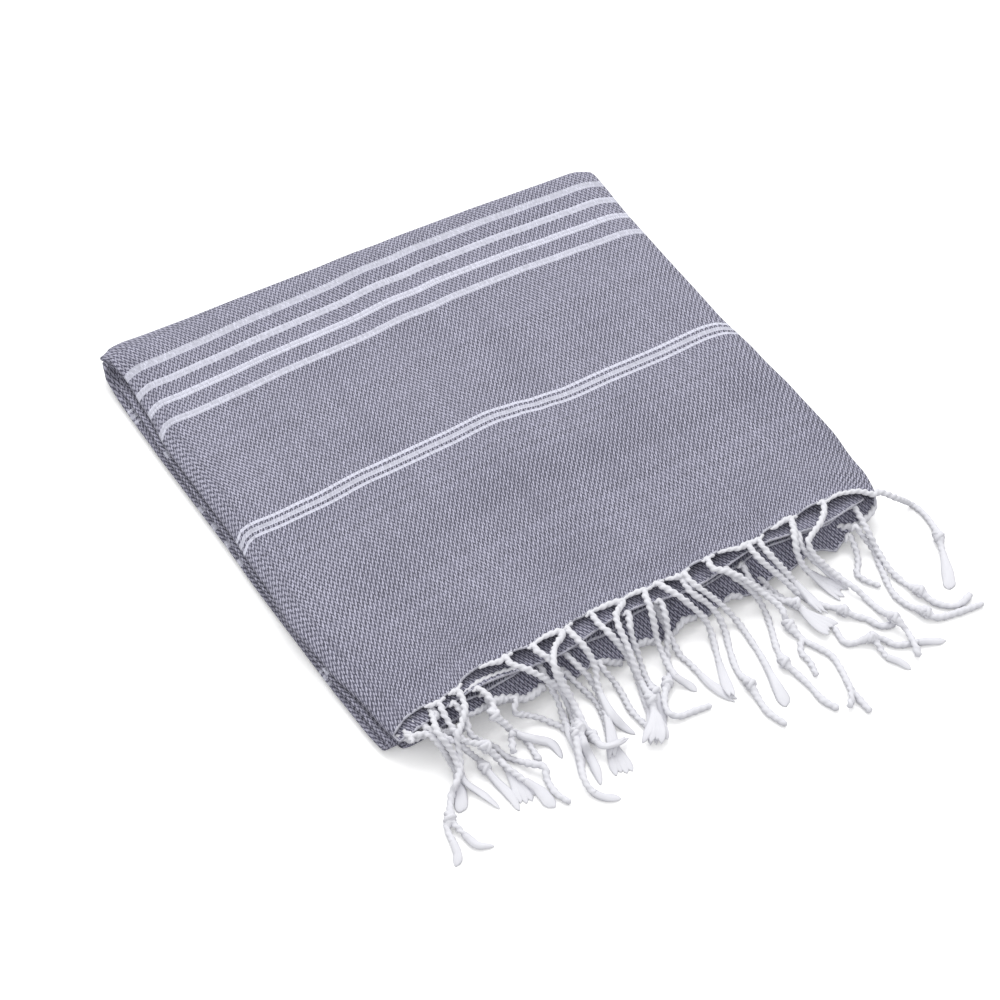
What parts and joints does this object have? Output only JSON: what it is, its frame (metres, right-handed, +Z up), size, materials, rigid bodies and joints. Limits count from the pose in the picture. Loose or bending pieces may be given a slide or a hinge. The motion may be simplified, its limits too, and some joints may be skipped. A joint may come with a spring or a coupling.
{
  "type": "folded hammam towel",
  "caption": "Flat-woven cotton hammam towel with white stripes, folded into a square pack with its knotted fringe spread in front.",
  "frame": {"origin": "middle of the flat underside, on the surface that the towel lies on", "axes": "+X along the folded width, +Y from the fringed front towards the back fold, +Z up"},
  "size_m": [0.2567, 0.3293, 0.0218],
  "materials": {
    "towel_cloth": "blue-grey cotton twill weave with white woven stripes, matt",
    "towel_fringe": "white twisted cotton yarn, matt"
  },
  "bodies": {
    "root": {"towel_cloth": "towel_cloth", "towel_fringe": "towel_fringe"}
  },
  "joints": []
}
